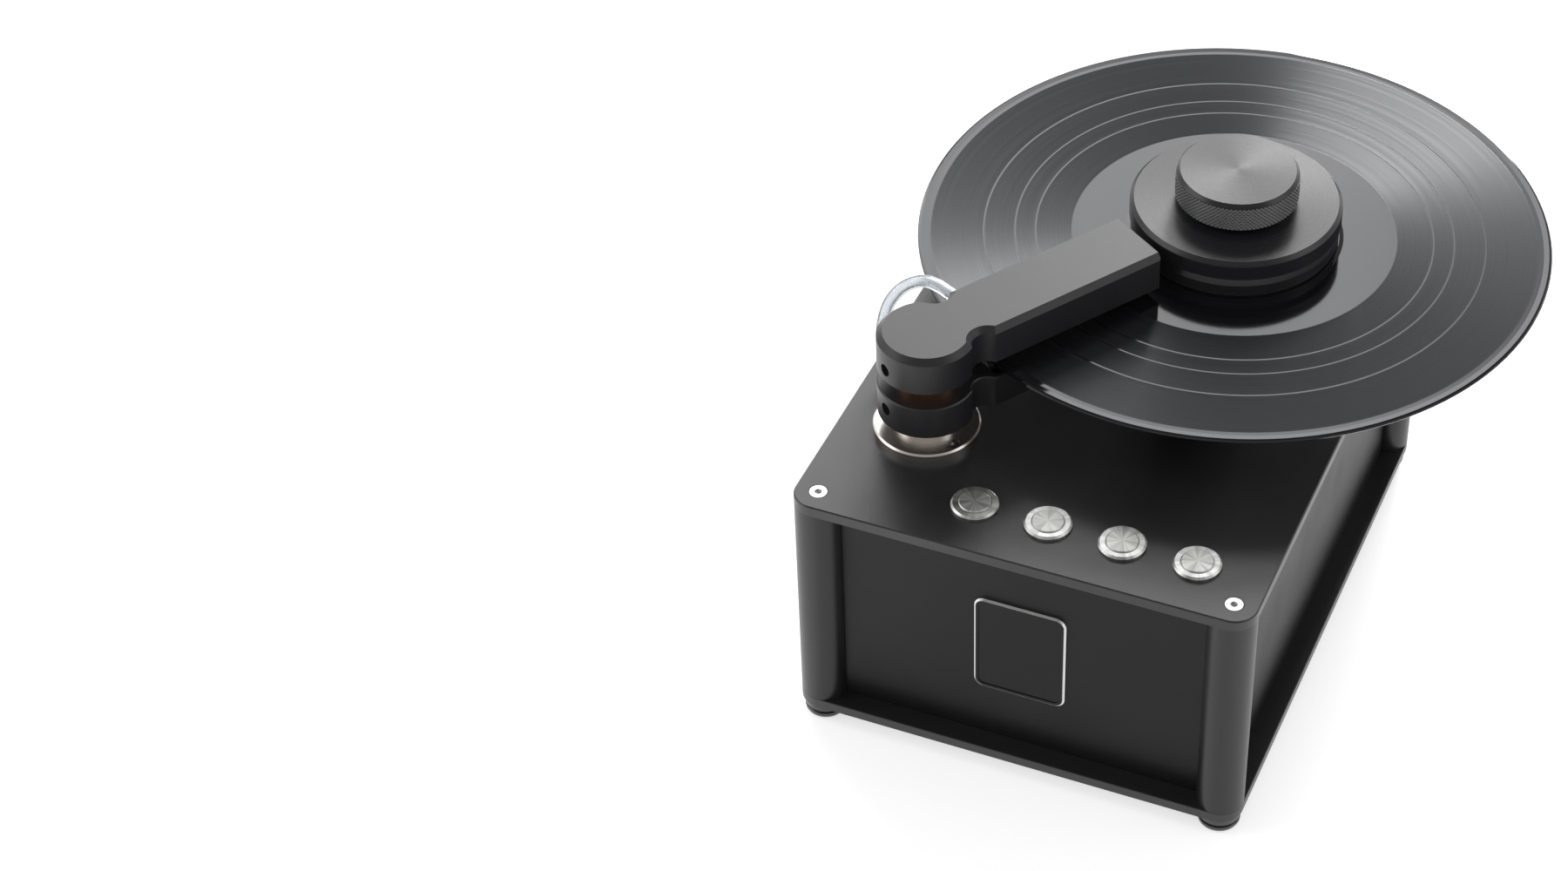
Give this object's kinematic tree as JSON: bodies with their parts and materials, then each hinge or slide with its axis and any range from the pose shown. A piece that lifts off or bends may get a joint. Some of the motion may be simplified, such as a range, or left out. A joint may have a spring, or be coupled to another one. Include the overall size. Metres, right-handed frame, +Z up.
{
  "type": "vacuum record cleaning machine",
  "caption": "Vacuum record cleaning machine: plate-and-post housing, turning clamped record, and a tower with suction arms below and above the record.",
  "frame": {"origin": "on the ground below the middle of the whole object's box at rest", "axes": "+X to the right seen from the front, +Y to the back, +Z up"},
  "size_m": [0.3016, 0.3698, 0.2097],
  "materials": {
    "plate_anodised": "satin black anodised",
    "panel_dark": "satin black",
    "post_satin": "satin black anodised, fine turning",
    "polished_silver": "polished bright metal",
    "button_silver": "satin bright metal",
    "screw_silver": "satin bright metal",
    "rubber_black": "matt",
    "inner_steel": "plain",
    "bush_bronze": "polished bronze",
    "arm_anodised": "satin black anodised",
    "velvet_black": "black velvet pile",
    "rail_silver": "bright edge",
    "hose_silicone": "milky clear silicone",
    "moulded_black": "plain",
    "hub_anodised": "satin black anodised with bright chamfers",
    "record_vinyl": "glossy black, fine grooves",
    "tank_clear": "plain translucent",
    "board_green": "plain"
  },
  "bodies": {
    "housing": {"top_plate": "plate_anodised", "bottom_plate": "plate_anodised", "front_panel": "panel_dark", "rear_panel": "panel_dark", "left_panel": "panel_dark", "right_panel": "panel_dark", "corner_posts": "post_satin", "plate_screws": "screw_silver", "feet": "polished_silver", "foot_pads": "rubber_black", "front_badge": "polished_silver", "button_bezels": "polished_silver", "button_nuts": "inner_steel", "tower_flange": "polished_silver", "flange_screws": "screw_silver", "tower_shaft": "inner_steel", "tower_nut": "inner_steel", "bronze_bush": "bush_bronze", "lower_arm": "arm_anodised", "lower_arm_lips": "velvet_black", "lower_lip_rails": "rail_silver", "brush_holder": "arm_anodised", "thumb_screw": "polished_silver", "lower_arm_screw": "screw_silver", "lower_hose_barb": "polished_silver", "lower_arm_hose": "hose_silicone", "hose_grommets": "rubber_black", "suction_manifold": "moulded_black", "hub_bearing": "hub_anodised", "drive_motor": "inner_steel", "drive_belt": "rubber_black", "vacuum_blower": "moulded_black", "fluid_pump": "inner_steel", "fluid_tank": "tank_clear", "waste_tank": "tank_clear", "power_supply": "inner_steel", "control_board": "board_green", "inlet_socket": "moulded_black", "drain_spigot": "inner_steel", "upper_arm_hose": "hose_silicone"},
    "rotor": {"spindle": "inner_steel", "platter": "hub_anodised", "platter_seal": "rubber_black", "platter_pulley": "moulded_black", "record": "record_vinyl"},
    "clamp": {"clamp_disc": "hub_anodised", "clamp_ring": "hub_anodised", "clamp_seal": "rubber_black"},
    "knob": {"clamp_knob": "hub_anodised"},
    "motor_rotor": {"motor_pulley": "moulded_black"},
    "swing_arm": {"upper_arm": "arm_anodised", "upper_arm_lips": "velvet_black", "upper_lip_rails": "rail_silver", "arm_end_plate": "arm_anodised", "upper_arm_screws": "screw_silver", "upper_hose_barb": "polished_silver"},
    "button_1": {"button_cap_1": "button_silver"},
    "button_2": {"button_cap_2": "button_silver"},
    "button_3": {"button_cap_3": "button_silver"},
    "button_4": {"button_cap_4": "button_silver"}
  },
  "joints": [
    {"name": "platter_spin", "type": "hinge", "parent": "housing", "child": "rotor", "pos_m": [0, 0.0341, 0.1385], "axis": [0, 0, 1], "continuous": true},
    {"name": "clamp_lift", "type": "slide", "parent": "rotor", "child": "clamp", "axis": [0, 0, 1], "range_m": [0, 0.009]},
    {"name": "knob_turn", "type": "hinge", "parent": "clamp", "child": "knob", "pos_m": [0, 0.0341, 0.1985], "axis": [0, 0, 1], "range_deg": [0, 1080]},
    {"name": "motor_spin", "type": "hinge", "parent": "housing", "child": "motor_rotor", "pos_m": [-0.074, 0.0211, 0.0885], "axis": [0, 0, 1], "continuous": true},
    {"name": "arm_swing", "type": "hinge", "parent": "housing", "child": "swing_arm", "pos_m": [-0.0978, -0.1147, 0.1835], "axis": [0, 0, 1], "range_deg": [0, 95], "deforming": ["upper_arm_hose"]},
    {"name": "button_1_press", "type": "slide", "parent": "housing", "child": "button_1", "axis": [0, 0, -1], "range_m": [0, 0.0015], "stiffness_N_per_m": 600},
    {"name": "button_2_press", "type": "slide", "parent": "housing", "child": "button_2", "axis": [0, 0, -1], "range_m": [0, 0.0015], "stiffness_N_per_m": 600},
    {"name": "button_3_press", "type": "slide", "parent": "housing", "child": "button_3", "axis": [0, 0, -1], "range_m": [0, 0.0015], "stiffness_N_per_m": 600},
    {"name": "button_4_press", "type": "slide", "parent": "housing", "child": "button_4", "axis": [0, 0, -1], "range_m": [0, 0.0015], "stiffness_N_per_m": 600}
  ],
  "couplings": [
    {"joint": "knob_turn", "follows": "clamp_lift", "rad_per_m": 2094.4},
    {"joint": "motor_spin", "follows": "platter_spin", "ratio": 2.75}
  ]
}
